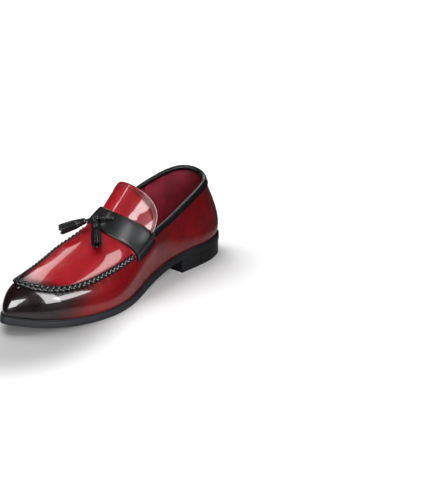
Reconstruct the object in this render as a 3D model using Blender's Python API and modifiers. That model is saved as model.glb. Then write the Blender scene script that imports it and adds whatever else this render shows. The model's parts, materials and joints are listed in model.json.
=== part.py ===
"""Tassel loafer for the left foot, empty and standing on its sole.

Metres, +Z up, toe towards -Y, outer (lateral) side towards +X. The origin is on the floor under
the middle of the sole. Along is measured from the back of the heel, across from the heel's
centre line, and heights from the upper face of the sole.
"""

import bmesh
import bpy
import numpy as np
from mathutils import Vector

for old in list(bpy.data.objects):
    bpy.data.objects.remove(old, do_unlink=True)

# Driving sizes
LENGTH = 0.300
BALL_WIDTH = 0.0965
COLLAR_HEIGHT = 0.0675
HEEL_HEIGHT = 0.0156
BREAST = 0.083
ARCH_START = 0.062
ARCH_END = 0.183
SPRING_START = 0.215
TOE_SPRING = 0.0113
SOLE_THICKNESS = 0.0066
SOLE_BEVEL = 0.0007
WELT = 0.0025
WALL = 0.0019
GAP = 0.0003
INSOLE_THICKNESS = 0.0025
STRAP_THICKNESS = 0.0024
STRAP_DROP = 0.23
BRAID_WIDTH = 0.0060
BRAID_HEIGHT = 0.0024
BINDING_WIDTH = 0.0065
BINDING_INSIDE = 0.0040
BINDING_THICKNESS = 0.0010
CORD_RADIUS = 0.0014
KNOT_RADIUS = 0.0033
TASSEL_RADIUS = 0.0056
TASSEL_STRIPS = 12

# Where the collar meets the tongue, as a share of the way round from the toe to the heel
NOTCH = 0.565
TONGUE_END = 1.30
STRAP_FRONT = 0.865
STRAP_REAR = 0.992
STRAP_FLARE = 0.024
BINDING_START = 0.011
BRAID_END = 0.008

# Sole outline: way round from the toe (+ outer side, - inner side), along, across
OUTLINE = (
    (0.000, 1.0000, -0.0104),
    (0.037, 0.9800, 0.1005),
    (0.096, 0.9333, 0.2466),
    (0.181, 0.8500, 0.3917),
    (0.275, 0.7500, 0.4933),
    (0.362, 0.6533, 0.5285),
    (0.440, 0.5667, 0.4798),
    (0.534, 0.4667, 0.3813),
    (0.654, 0.3333, 0.3378),
    (0.779, 0.1933, 0.3472),
    (0.868, 0.0933, 0.3161),
    (0.940, 0.0233, 0.1917),
    (1.000, 0.0000, 0.0000),
    (-0.940, 0.0233, -0.1917),
    (-0.867, 0.0933, -0.3161),
    (-0.777, 0.1933, -0.3420),
    (-0.655, 0.3267, -0.2953),
    (-0.540, 0.4567, -0.3057),
    (-0.450, 0.5533, -0.3731),
    (-0.370, 0.6433, -0.4508),
    (-0.300, 0.7167, -0.4715),
    (-0.209, 0.8167, -0.4145),
    (-0.127, 0.9000, -0.3057),
    (-0.061, 0.9600, -0.1813),
    (-0.024, 0.9900, -0.0881),
)

# Upper edge of the side wall, which is the apron seam in front of the notch and the collar
# behind it: way round, along, across, height
RIM = (
    (0.000, 0.9217, -0.0311, 0.4785),
    (0.040, 0.9167, 0.0622, 0.4711),
    (0.100, 0.8967, 0.1813, 0.4533),
    (0.180, 0.8433, 0.3057, 0.4385),
    (0.270, 0.7567, 0.3813, 0.4593),
    (0.360, 0.6567, 0.3959, 0.4933),
    (0.440, 0.5700, 0.3834, 0.5363),
    (0.500, 0.5033, 0.3668, 0.5926),
    (0.565, 0.4317, 0.3472, 0.6889),
    (0.655, 0.3467, 0.3264, 0.7141),
    (0.780, 0.2067, 0.2850, 0.8563),
    (0.870, 0.1200, 0.2176, 0.9452),
    (0.940, 0.0733, 0.1192, 0.9570),
    (1.000, 0.0500, -0.0104, 1.0015),
    (-0.940, 0.0633, -0.1399, 1.0519),
    (-0.870, 0.1100, -0.2487, 1.0519),
    (-0.780, 0.1967, -0.3212, 0.9630),
    (-0.655, 0.3400, -0.3523, 0.8222),
    (-0.565, 0.4317, -0.3731, 0.7556),
    (-0.500, 0.4900, -0.3813, 0.7111),
    (-0.440, 0.5533, -0.3834, 0.6489),
    (-0.360, 0.6367, -0.3731, 0.5837),
    (-0.270, 0.7300, -0.3212, 0.5126),
    (-0.180, 0.8083, -0.2539, 0.4711),
    (-0.100, 0.8700, -0.1782, 0.4593),
    (-0.040, 0.9100, -0.1057, 0.4637),
)

# Curve of the side wall: way round, lower handle out and up, upper handle out and down.
# Out is a share of the ball width, up and down are shares of the wall's own rise.
WALLS = (
    (0.000, 0.023, 0.31, 0.122, 0.13),
    (0.040, 0.022, 0.32, 0.118, 0.14),
    (0.100, 0.023, 0.34, 0.093, 0.18),
    (0.180, 0.026, 0.36, 0.083, 0.22),
    (0.270, 0.031, 0.38, 0.083, 0.26),
    (0.360, 0.031, 0.38, 0.088, 0.28),
    (0.440, 0.031, 0.36, 0.073, 0.27),
    (0.500, 0.026, 0.34, 0.064, 0.25),
    (0.565, 0.021, 0.34, 0.056, 0.24),
    (0.655, 0.026, 0.34, 0.036, 0.30),
    (0.780, 0.047, 0.33, 0.042, 0.33),
    (0.870, 0.052, 0.33, 0.054, 0.32),
    (0.940, 0.060, 0.33, 0.062, 0.31),
    (1.000, 0.065, 0.33, 0.064, 0.30),
    (-0.940, 0.060, 0.33, 0.060, 0.31),
    (-0.870, 0.052, 0.33, 0.052, 0.32),
    (-0.780, 0.047, 0.33, 0.042, 0.33),
    (-0.655, 0.030, 0.32, 0.018, 0.30),
    (-0.565, 0.030, 0.32, 0.022, 0.24),
    (-0.500, 0.030, 0.33, 0.040, 0.25),
    (-0.440, 0.031, 0.35, 0.068, 0.27),
    (-0.360, 0.031, 0.37, 0.080, 0.28),
    (-0.270, 0.025, 0.36, 0.074, 0.28),
    (-0.180, 0.020, 0.34, 0.072, 0.27),
    (-0.100, 0.020, 0.32, 0.082, 0.25),
    (-0.040, 0.021, 0.30, 0.104, 0.18),
)

# Ridge of the apron and tongue: way from the toe (1 at the notch), along, across, height,
# and how far the ribs run on over the seam before they turn in
RIDGE = (
    (0.000, 0.9217, -0.031, 0.4785, 0.30),
    (0.070, 0.9100, -0.031, 0.4860, 0.35),
    (0.177, 0.8830, -0.031, 0.5110, 0.50),
    (0.320, 0.8250, -0.026, 0.5640, 0.80),
    (0.478, 0.7460, -0.024, 0.6440, 1.00),
    (0.637, 0.6620, -0.024, 0.7200, 1.10),
    (0.780, 0.6000, -0.028, 0.8000, 1.20),
    (0.885, 0.5530, -0.035, 0.9100, 1.35),
    (1.000, 0.4950, -0.045, 1.0700, 1.50),
    (1.150, 0.4500, -0.060, 1.1800, 1.50),
    (1.300, 0.4030, -0.075, 1.2850, 1.50),
)

# What the tongue's side handles gain behind the notch: along, outwards, height
TONGUE_SWEEP = (-0.153, 0.050, 0.415)

# The inner side's tassel hangs a little shorter than the outer side's
TASSEL_LENGTHS = {"tassel_outer": 0.033, "tassel_inner": 0.030}

# Places over the strap and apron: path over the upper, way to the notch, and how many radii
# of the piece itself its middle lies over what carries it
KNOT_PLACE = (1.560, 0.906, 1.0)
CORD_PLACES = ((1.395, 0.953, 0.9), (1.430, 0.942, 1.2), (1.480, 0.928, 1.4), (1.525, 0.914, 2.2))
TASSEL_PLACES = {
    "tassel_outer": ((1.537, 0.884, 0.75), (1.373, 0.740, 0.60)),
    "tassel_inner": ((1.650, 0.855, 0.80), (1.840, 0.685, 1.70)),
}

# Outline of a tassel: share of its length, share of its radius, depth of the gaps in its strips
TASSEL_PROFILE = (
    (0.00, 0.30, 0.00),
    (0.03, 0.52, 0.00),
    (0.08, 0.62, 0.00),
    (0.26, 0.68, 0.00),
    (0.29, 0.64, 0.00),
    (0.31, 0.62, 0.02),
    (0.40, 0.82, 0.08),
    (0.60, 0.93, 0.10),
    (0.82, 0.98, 0.11),
    (0.97, 1.00, 0.11),
    (1.00, 0.96, 0.10),
)

COLUMNS_FRONT = 26
COLUMNS_BACK = 18
WALL_ROWS = 9
APRON_ROWS = 16
TONGUE_RIBS = 7
SOLE_COLUMNS = 5

COLOURS = {
    "red": (0.30, 0.010, 0.018, 0.12),
    "black": (0.012, 0.012, 0.014, 0.30),
    "sole": (0.018, 0.019, 0.022, 0.45),
    "lining": (0.13, 0.012, 0.022, 0.60),
}


def spline(table, at, period=None):
    """The smooth curve through a table's rows, by its first column. A period closes it."""
    rows = np.array(table, float)
    rows = rows[np.argsort(rows[:, 0])]
    if period:
        ahead, behind = rows[:3].copy(), rows[-3:].copy()
        ahead[:, 0] += period
        behind[:, 0] -= period
        rows = np.vstack([behind, rows, ahead])
    knots, values = rows[:, 0], rows[:, 1:]
    step = np.diff(knots)
    slope = np.diff(values, axis=0) / step[:, None]
    count = len(knots)
    system = np.eye(count)
    right = np.zeros_like(values)
    for i in range(1, count - 1):
        system[i, i - 1 : i + 2] = step[i - 1], 2 * (step[i - 1] + step[i]), step[i]
        right[i] = 6 * (slope[i] - slope[i - 1])
    bend = np.linalg.solve(system, right)
    at = np.asarray(at, float)
    i = np.clip(np.searchsorted(knots, at) - 1, 0, count - 2)
    width = step[i][..., None]
    left = (knots[i + 1] - at)[..., None]
    past = (at - knots[i])[..., None]
    curve = (bend[i] * left**3 + bend[i + 1] * past**3) / (6 * width)
    curve += (values[i] / width - bend[i] * width / 6) * left
    return curve + (values[i + 1] / width - bend[i + 1] * width / 6) * past


def bezier(points, at):
    """Points along curves whose handles are points[k], each an array of positions."""
    at = np.asarray(at, float)[..., None]
    points = list(points)
    while len(points) > 1:
        points = [a + (b - a) * at for a, b in zip(points, points[1:])]
    return points[0]


def sole_underside(along):
    """Height of the outsole's underside over the floor, along the shoe."""
    rise = np.clip((ARCH_END - along) / (ARCH_END - ARCH_START), 0, 1)
    arch = rise**3 * (rise * (6 * rise - 15) + 10)
    spring = np.clip((along - SPRING_START) / (LENGTH - SPRING_START), 0, 1.1) ** 2
    return HEEL_HEIGHT * arch + TOE_SPRING * spring


def sole_top(along):
    return sole_underside(along) + SOLE_THICKNESS


def outline(way, inset=0.0):
    """Along and across of the sole's outline, moved in by an inset."""
    plan = spline(OUTLINE, way, 2.0) * (LENGTH, BALL_WIDTH)
    return plan - outwards(way) * inset


def outwards(way):
    """Unit vector, along and across, that points out of the sole's outline."""
    step = 0.004
    ahead = spline(OUTLINE, wrapped(way + step), 2.0)
    behind = spline(OUTLINE, wrapped(way - step), 2.0)
    run = (ahead - behind) * (LENGTH, BALL_WIDTH)
    out = np.stack([run[..., 1], -run[..., 0]], -1)
    return out / np.linalg.norm(out, axis=-1, keepdims=True)


def wrapped(way):
    return (np.asarray(way, float) + 1.0) % 2.0 - 1.0


def lifted(along, across, height):
    return np.stack([along, across, sole_top(along) + height], -1)


def rim(way):
    """The apron seam and, behind the notch, the collar's edge."""
    along, across, height = np.moveaxis(spline(RIM, wrapped(way), 2.0), -1, 0)
    return lifted(along * LENGTH, across * BALL_WIDTH, height * COLLAR_HEIGHT)


def wall_handles(way):
    """The four control points of the side wall's rib, from the feather line to the rim."""
    way = wrapped(way)
    plan = outline(way, WELT)
    foot = lifted(plan[..., 0], plan[..., 1], np.full(plan.shape[:-1], GAP))
    top = rim(way)
    low_out, low_up, high_out, high_down = np.moveaxis(spline(WALLS, way, 2.0), -1, 0)
    rise = top[..., 2] - foot[..., 2]
    out = outwards(way) * BALL_WIDTH
    low = np.concatenate([out * low_out[..., None], (low_up * rise)[..., None]], -1)
    high = np.concatenate([out * high_out[..., None], -(high_down * rise)[..., None]], -1)
    return foot, foot + low, top + high, top


def wall_point(way, up):
    """A point of the side wall: up is 0 at the sole and 1 at the rim."""
    return bezier(wall_handles(way), up)


def apron_point(way, over):
    """A point of the apron or tongue: way is 0 at the toe and 1 at the notch, and over runs
    from 0 on the outer side's seam to 1 on the inner side's."""
    way = np.asarray(way, float)
    along, across, height, run_on = np.moveaxis(spline(RIDGE, way), -1, 0)
    ridge = lifted(along * LENGTH, across * BALL_WIDTH, height * COLLAR_HEIGHT)
    seam = np.minimum(way, 1.0) * NOTCH
    sweep = (np.maximum(way - 1.0, 0.0) / (TONGUE_END - 1.0)) ** 2
    sides = []
    for side in (1, -1):
        _, _, handle, top = wall_handles(side * seam)
        swept = np.array(TONGUE_SWEEP) * (LENGTH, side * BALL_WIDTH, COLLAR_HEIGHT)
        turn = top + (top - handle) * run_on[..., None] + sweep[..., None] * swept
        sides.append((top, turn))
    (top, turn), (far_top, far_turn) = sides
    middle = (16 * ridge - top - far_top - 4 * (turn + far_turn)) / 6
    return bezier((top, turn, middle, far_turn, far_top), over)


def outer_point(path, way):
    """A point of the upper's outer face on a path across it: path runs from 0 at the sole's
    outer side over 1 and 2 at the seams to 3 at the inner side, at one way round."""
    path, way = np.broadcast_arrays(np.asarray(path, float), np.asarray(way, float))
    near = wall_point(way, np.clip(path, 0, 1))
    over = apron_point(way / NOTCH, np.clip(path - 1, 0, 1))
    far = wall_point(-way, np.clip(3 - path, 0, 1))
    path = path[..., None]
    return np.where(path < 1, near, np.where(path > 2, far, over))


def face_normal(surface, first, second, step=0.004):
    """Unit normal of a surface of two parameters."""
    one = surface(first + step, second) - surface(first - step, second)
    two = surface(first, second + step) - surface(first, second - step)
    normal = np.cross(one, two)
    return normal / np.maximum(np.linalg.norm(normal, axis=-1, keepdims=True), 1e-12)


def placed(points):
    """Along, across and height to the part's own axes, with its middle on the origin."""
    along, across, height = np.moveaxis(np.asarray(points, float), -1, 0)
    every = outline(np.linspace(-1, 1, 401))
    middle = (every[:, 1].max() + every[:, 1].min()) / 2
    length = (every[:, 0].max() + every[:, 0].min()) / 2
    return np.stack([across - middle, length - along, height], -1)


def add_object(name, mesh_or_data, colour, collection):
    red, green, blue, roughness = COLOURS[colour]
    material = bpy.data.materials.new(name)
    material.use_nodes = True
    shader = material.node_tree.nodes["Principled BSDF"]
    shader.inputs["Base Color"].default_value = (red, green, blue, 1.0)
    shader.inputs["Roughness"].default_value = roughness
    mesh_or_data.materials.append(material)
    new = bpy.data.objects.new(name, mesh_or_data)
    collection.objects.link(new)
    return new


def mesh_of(name, points, faces):
    """A mesh with doubled points made one and its faces turned outwards."""
    shape = bmesh.new()
    corners = [shape.verts.new(point) for point in points]
    for face in faces:
        shape.faces.new([corners[i] for i in face])
    bmesh.ops.remove_doubles(shape, verts=shape.verts, dist=1e-6)
    bmesh.ops.recalc_face_normals(shape, faces=shape.faces)
    mesh = bpy.data.meshes.new(name)
    shape.to_mesh(mesh)
    shape.free()
    mesh.shade_smooth()
    mesh.set_sharp_from_angle(angle=0.7)
    return mesh


def grid_faces(rows, columns, start=0, closed=False):
    """Quads between the points of a grid stored row after row."""
    faces = []
    for row in range(rows - 1):
        for column in range(columns if closed else columns - 1):
            after = (column + 1) % columns
            a, b = start + row * columns + column, start + row * columns + after
            faces.append((a, b, b + columns, a + columns))
    return faces


def slab(name, upper, lower):
    """A solid between two grids of points."""
    rows, columns = upper.shape[:2]
    count = rows * columns
    faces = grid_faces(rows, columns)
    faces += [tuple(i + count for i in face[::-1]) for face in faces]
    index = np.arange(count).reshape(rows, columns)
    edge = np.concatenate([index[0], index[1:, -1], index[-1, -2::-1], index[-2:0:-1, 0]])
    for a, b in zip(edge, np.roll(edge, -1)):
        faces.append((int(b), int(a), int(a) + count, int(b) + count))
    points = np.concatenate([upper.reshape(-1, 3), lower.reshape(-1, 3)])
    return mesh_of(name, points, faces)


def lofted(name, rings):
    """A solid through closed rings of points, with flat ends."""
    rings = np.asarray(rings)
    count, columns = rings.shape[:2]
    faces = grid_faces(count, columns, closed=True)
    faces += [tuple(range(columns)), tuple((count - 1) * columns + i for i in range(columns))]
    return mesh_of(name, rings.reshape(-1, 3), faces)


def cross_rows(ways, inset, columns):
    """Plan positions in rows from the outer side's outline to the inner side's."""
    outer = outline(np.asarray([way for way, _ in ways]), inset)
    inner = outline(np.asarray([way for _, way in ways]), inset)
    share = np.linspace(0, 1, columns)[None, :, None]
    return outer[:, None] + (inner - outer)[:, None] * share


def at_height(plan, heights):
    return placed(np.concatenate([plan, heights[..., None]], -1))


def station_ways():
    """Ways round from the toe to the heel, closer together at the toe."""
    front = NOTCH * np.linspace(0, 1, COLUMNS_FRONT + 1)
    back = NOTCH + (1 - NOTCH) * np.linspace(0, 1, COLUMNS_BACK + 1)[1:]
    return np.concatenate([front, back])


def make_outsole(collection):
    ways = [(way, -way) for way in station_ways()]
    top = cross_rows(ways, 0.0, SOLE_COLUMNS)
    bottom = cross_rows(ways, SOLE_BEVEL, SOLE_COLUMNS)
    mesh = slab(
        "outsole",
        at_height(top, sole_top(top[..., 0])),
        at_height(bottom, sole_underside(bottom[..., 0])),
    )
    add_object("outsole", mesh, "sole", collection)


def way_at(along, side):
    """Way round where the outline passes a distance along, behind the ball."""
    ways = np.linspace(0.4, 1.0, 601)
    places = outline(side * ways)[:, 0]
    return side * float(np.interp(-along, -places, ways))


def make_heel(collection):
    outer, inner = way_at(BREAST, 1), way_at(BREAST, -1)
    share = np.linspace(0, 1, 15)
    ways = [(outer + (1 - outer) * s, inner + (-1 - inner) * s) for s in share]
    top = cross_rows(ways, SOLE_BEVEL, SOLE_COLUMNS)
    bottom = cross_rows(ways, SOLE_BEVEL * 2, SOLE_COLUMNS)
    mesh = slab(
        "heel",
        at_height(top, sole_underside(top[..., 0]) - GAP),
        at_height(bottom, np.zeros(bottom.shape[:2])),
    )
    add_object("heel", mesh, "sole", collection)


def make_insole(collection):
    ways = [(way, -way) for way in station_ways()]
    plan = cross_rows(ways, WELT + WALL + 3 * GAP, SOLE_COLUMNS)
    foot = sole_top(plan[..., 0]) + GAP
    mesh = slab("insole", at_height(plan, foot + INSOLE_THICKNESS), at_height(plan, foot))
    add_object("insole", mesh, "lining", collection)


def make_upper(collection):
    """The whole hollow upper: side walls, apron and tongue as one skin, thickened inwards."""
    half = station_ways()
    around = np.concatenate([half, -half[-2:0:-1]])
    up = np.linspace(0, 1, WALL_ROWS + 1)
    walls = placed(wall_point(around[None, :], up[:, None]))
    tongue = 1 + (TONGUE_END - 1) * np.linspace(0, 1, TONGUE_RIBS + 1)[1:]
    ribs = np.concatenate([np.linspace(0, 1, COLUMNS_FRONT + 1), tongue])
    over = np.linspace(0, 1, APRON_ROWS + 1)
    apron = placed(apron_point(ribs[:, None], over[None, :]))
    points = np.concatenate([walls.reshape(-1, 3), apron.reshape(-1, 3)])
    faces = grid_faces(WALL_ROWS + 1, len(around), closed=True)
    faces += grid_faces(len(ribs), APRON_ROWS + 1, start=walls.size // 3)
    mesh = mesh_of("upper", points, faces)
    upper = add_object("upper", mesh, "red", collection)
    shell = upper.modifiers.new("wall", "SOLIDIFY")
    shell.thickness = WALL
    shell.offset = -1


def raised(surface, first, second, lift):
    """Points at a height over a surface, with its normal turned outwards."""
    point = surface(first, second)
    normal = face_normal(surface, first, second)
    out = point - np.array([0.5 * LENGTH, 0.0, 0.25 * COLLAR_HEIGHT])
    normal = np.where((normal * out).sum(-1, keepdims=True) < 0, -normal, normal)
    return point + normal * np.asarray(lift)[..., None]


def make_strap(collection):
    """The saddle strap, which lies over the apron in front of the notch and ends on the walls."""
    path = np.linspace(1 - STRAP_DROP, 2 + STRAP_DROP, 37)[:, None]
    flare = STRAP_FLARE * (np.abs(path - 1.5) / (0.5 + STRAP_DROP)) ** 2
    share = np.linspace(0, 1, 6)[None, :]
    width = NOTCH * (STRAP_FRONT - flare + (STRAP_REAR - STRAP_FRONT + flare) * share)
    lift = np.full(np.broadcast(path, width).shape, GAP * 1.5)
    mesh = slab(
        "saddle_strap",
        placed(raised(outer_point, path, width, lift + STRAP_THICKNESS)),
        placed(raised(outer_point, path, width, lift)),
    )
    add_object("saddle_strap", mesh, "black", collection)


def make_binding(collection):
    """The folded band over the collar's edge, from one side of the tongue round to the other."""
    start = NOTCH + BINDING_START
    ways = np.linspace(start, 2 - start, 2 * COLUMNS_BACK + 3)
    edge = rim(ways)
    normal = face_normal(wall_point, wrapped(ways), np.full(len(ways), 0.985))
    outer = np.concatenate([outwards(wrapped(ways)), np.zeros((len(ways), 1))], -1)
    normal *= np.sign((normal * outer).sum(-1, keepdims=True))
    rise = np.linalg.norm(edge - wall_point(wrapped(ways), np.full(len(ways), 0.9)), axis=-1)
    outside, inside = GAP, -WALL - GAP
    thick = BINDING_THICKNESS
    section = (
        (BINDING_WIDTH, outside),
        (BINDING_WIDTH, outside + thick),
        (BINDING_WIDTH / 2, outside + thick),
        (thick / 3, outside + thick),
        (-GAP - thick * 0.7, outside),
        (-GAP - thick, -WALL / 2),
        (-GAP - thick * 0.7, inside),
        (thick / 3, inside - thick),
        (BINDING_INSIDE, inside - thick),
        (BINDING_INSIDE, inside),
        (-GAP, inside),
        (-GAP, outside),
    )
    rings = []
    for down, out in section:
        share = 1 - 0.1 * np.maximum(down, 0) / rise
        foot = wall_point(wrapped(ways), share)
        foot[:, 2] += max(-down, 0)
        rings.append(foot + normal * out)
    mesh = lofted("collar_binding", placed(np.stack(rings, 1)))
    add_object("collar_binding", mesh, "black", collection)


def make_braid(collection):
    """The raised seam round the apron, from under one end of the strap to the other."""
    reach = 0.5 / (0.5 + STRAP_DROP)
    under = STRAP_FRONT - STRAP_FLARE * reach**2
    ways = np.linspace(-1, 1, 65) * (under * NOTCH - BRAID_END)
    _, _, handle, top = wall_handles(ways)
    run = rim(ways + 0.002) - rim(ways - 0.002)
    run /= np.linalg.norm(run, axis=-1, keepdims=True)
    normal = np.cross(run, top - handle)
    normal /= np.linalg.norm(normal, axis=-1, keepdims=True)
    normal *= np.sign(normal[:, 2:])
    across = np.cross(normal, run)
    section = ((-0.5, 0.0), (-0.36, 0.72), (0.0, 1.0), (0.36, 0.72), (0.5, 0.0))
    rings = [
        top + across * BRAID_WIDTH * x + normal * (GAP + BRAID_HEIGHT * y) for x, y in section
    ]
    mesh = lofted("apron_braid", placed(np.stack(rings, 1)))
    add_object("apron_braid", mesh, "black", collection)


def over_strap(place, radius):
    """A place over the strap's upper face, or over the apron as if the strap ran on there."""
    path, way, lift = place
    height = STRAP_THICKNESS + 3 * GAP + lift * radius
    spot = raised(outer_point, np.array([path]), np.array([way * NOTCH]), np.array([height]))
    return placed(spot)[0]


def make_knot(collection):
    """The knot of the tassels' cord, a flattened ball on the strap."""
    middle = over_strap(KNOT_PLACE, KNOT_RADIUS)
    out = over_strap((*KNOT_PLACE[:2], 2.0), KNOT_RADIUS) - middle
    out /= np.linalg.norm(out)
    ball = bmesh.new()
    bmesh.ops.create_uvsphere(ball, u_segments=16, v_segments=10, radius=KNOT_RADIUS)
    turn = Vector(out).to_track_quat("Z", "Y").to_matrix().to_4x4()
    turn.translation = middle
    bmesh.ops.transform(ball, matrix=turn, verts=ball.verts)
    mesh = bpy.data.meshes.new("tassel_knot")
    ball.to_mesh(mesh)
    ball.free()
    mesh.shade_smooth()
    add_object("tassel_knot", mesh, "black", collection)


def make_cord(name, points, collection):
    """A round cord through points, as a curve with filled ends."""
    route = np.asarray(points)
    share = np.linspace(0, 1, len(route))
    route = spline(np.column_stack([share, route]), np.linspace(0, 1, 14))
    curve = bpy.data.curves.new(name, "CURVE")
    curve.dimensions = "3D"
    curve.bevel_depth = CORD_RADIUS
    curve.bevel_resolution = 2
    curve.use_fill_caps = True
    line = curve.splines.new("POLY")
    line.points.add(len(route) - 1)
    for point, place in zip(line.points, route):
        point.co = (*place, 1.0)
    add_object(name, curve, "black", collection)


def tassel_ends(name):
    top, foot = TASSEL_PLACES[name]
    top, foot = over_strap(top, TASSEL_RADIUS), over_strap(foot, TASSEL_RADIUS)
    run = (foot - top) / np.linalg.norm(foot - top)
    return top, run


def make_tassel(name, collection):
    """A cap and a skirt of cut strips, as one turned solid with grooves between the strips."""
    top, run = tassel_ends(name)
    side = np.cross(run, (0.0, 0.0, 1.0))
    side /= np.linalg.norm(side)
    front = np.cross(side, run)
    turn = np.linspace(0, 2 * np.pi, 3 * TASSEL_STRIPS, endpoint=False)
    spokes = np.cos(turn)[:, None] * side + np.sin(turn)[:, None] * front
    rings = []
    for share, radius, groove in TASSEL_PROFILE:
        reach = TASSEL_RADIUS * radius * (1 - groove * (1 + np.cos(TASSEL_STRIPS * turn)) / 1.5)
        rings.append(top + run * share * TASSEL_LENGTHS[name] + spokes * reach[:, None])
    add_object(name, lofted(name, rings), "black", collection)


def make_cords(collection):
    knot = over_strap(KNOT_PLACE, KNOT_RADIUS)
    slit = [over_strap(place, CORD_RADIUS) for place in CORD_PLACES]
    make_cord("cord_to_slit", slit, collection)
    top, run = tassel_ends("tassel_inner")
    away = (top - knot) / np.linalg.norm(top - knot)
    start = knot + away * (KNOT_RADIUS + GAP)
    end = top - run * 2 * GAP
    lead = end - run * CORD_RADIUS * 1.5
    make_cord("cord_to_tassel", [start, (start + lead) / 2, lead, end], collection)


root = bpy.data.collections.new("tassel_loafer")
bpy.context.scene.collection.children.link(root)
make_outsole(root)
make_heel(root)
make_insole(root)
make_upper(root)
make_strap(root)
make_binding(root)
make_braid(root)
make_knot(root)
make_cords(root)
for tassel in TASSEL_PLACES:
    make_tassel(tassel, root)
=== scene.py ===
# Tassel loafer, left shoe: the looks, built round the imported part.
# Metres, toe towards -Y, outer side towards +X, floor at z = 0.
import json
import math

import bmesh
import bpy
import numpy as np
from mathutils import Matrix, Vector

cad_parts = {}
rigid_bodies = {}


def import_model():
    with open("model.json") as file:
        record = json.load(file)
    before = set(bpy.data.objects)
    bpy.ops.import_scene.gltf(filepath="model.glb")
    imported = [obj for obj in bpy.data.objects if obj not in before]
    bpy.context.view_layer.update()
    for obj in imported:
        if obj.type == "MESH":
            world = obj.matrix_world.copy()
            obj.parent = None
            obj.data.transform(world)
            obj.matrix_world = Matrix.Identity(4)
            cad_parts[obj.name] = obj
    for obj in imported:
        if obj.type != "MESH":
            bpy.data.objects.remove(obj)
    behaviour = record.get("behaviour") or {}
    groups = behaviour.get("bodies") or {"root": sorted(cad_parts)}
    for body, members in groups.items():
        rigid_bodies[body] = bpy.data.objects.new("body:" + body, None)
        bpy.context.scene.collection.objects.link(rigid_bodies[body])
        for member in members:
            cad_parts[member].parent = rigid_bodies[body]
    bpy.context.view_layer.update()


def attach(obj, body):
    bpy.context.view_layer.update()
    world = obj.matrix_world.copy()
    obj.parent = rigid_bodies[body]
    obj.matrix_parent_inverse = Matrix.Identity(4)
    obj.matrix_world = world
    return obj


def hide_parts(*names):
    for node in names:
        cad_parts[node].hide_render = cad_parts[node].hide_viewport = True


for old in list(bpy.data.objects):
    bpy.data.objects.remove(old, do_unlink=True)
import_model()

shoe = {
    "length": 0.300, "ballWidth": 0.0965, "collarHeight": 0.0675, "heelHeight": 0.0156,
    "breast": 0.083, "archStart": 0.062, "archEnd": 0.183, "springStart": 0.215,
    "toeSpring": 0.0113, "soleThickness": 0.0066, "welt": 0.0025, "wall": 0.0019, "gap": 0.0003,
    "notch": 0.565,  # where the collar meets the tongue, as a share of the way round
    "tongueEnd": 1.30,
}

# Sole outline: way round from the toe (+ outer side, - inner side), along, across
outlineTable = (
    (0, 1, -0.0104), (0.037, 0.98, 0.1005), (0.096, 0.9333, 0.2466), (0.181, 0.85, 0.3917),
    (0.275, 0.75, 0.4933), (0.362, 0.6533, 0.5285), (0.44, 0.5667, 0.4798),
    (0.534, 0.4667, 0.3813), (0.654, 0.3333, 0.3378), (0.779, 0.1933, 0.3472),
    (0.868, 0.0933, 0.3161), (0.94, 0.0233, 0.1917), (1, 0, 0), (-0.94, 0.0233, -0.1917),
    (-0.867, 0.0933, -0.3161), (-0.777, 0.1933, -0.342), (-0.655, 0.3267, -0.2953),
    (-0.54, 0.4567, -0.3057), (-0.45, 0.5533, -0.3731), (-0.37, 0.6433, -0.4508),
    (-0.3, 0.7167, -0.4715), (-0.209, 0.8167, -0.4145), (-0.127, 0.9, -0.3057),
    (-0.061, 0.96, -0.1813), (-0.024, 0.99, -0.0881),
)

# Top of the side wall, the apron seam in front and the collar behind: way, along, across, height
rimTable = (
    (0, 0.9217, -0.0311, 0.4785), (0.04, 0.9167, 0.0622, 0.4711), (0.1, 0.8967, 0.1813, 0.4533),
    (0.18, 0.8433, 0.3057, 0.4385), (0.27, 0.7567, 0.3813, 0.4593),
    (0.36, 0.6567, 0.3959, 0.4933), (0.44, 0.57, 0.3834, 0.5363), (0.5, 0.5033, 0.3668, 0.5926),
    (0.565, 0.4317, 0.3472, 0.6889), (0.655, 0.3467, 0.3264, 0.7141),
    (0.78, 0.2067, 0.285, 0.8563), (0.87, 0.12, 0.2176, 0.9452), (0.94, 0.0733, 0.1192, 0.957),
    (1, 0.05, -0.0104, 1.0015), (-0.94, 0.0633, -0.1399, 1.0519),
    (-0.87, 0.11, -0.2487, 1.0519), (-0.78, 0.1967, -0.3212, 0.963),
    (-0.655, 0.34, -0.3523, 0.8222), (-0.565, 0.4317, -0.3731, 0.7556),
    (-0.5, 0.49, -0.3813, 0.7111), (-0.44, 0.5533, -0.3834, 0.6489),
    (-0.36, 0.6367, -0.3731, 0.5837), (-0.27, 0.73, -0.3212, 0.5126),
    (-0.18, 0.8083, -0.2539, 0.4711), (-0.1, 0.87, -0.1782, 0.4593),
    (-0.04, 0.91, -0.1057, 0.4637),
)

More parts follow.
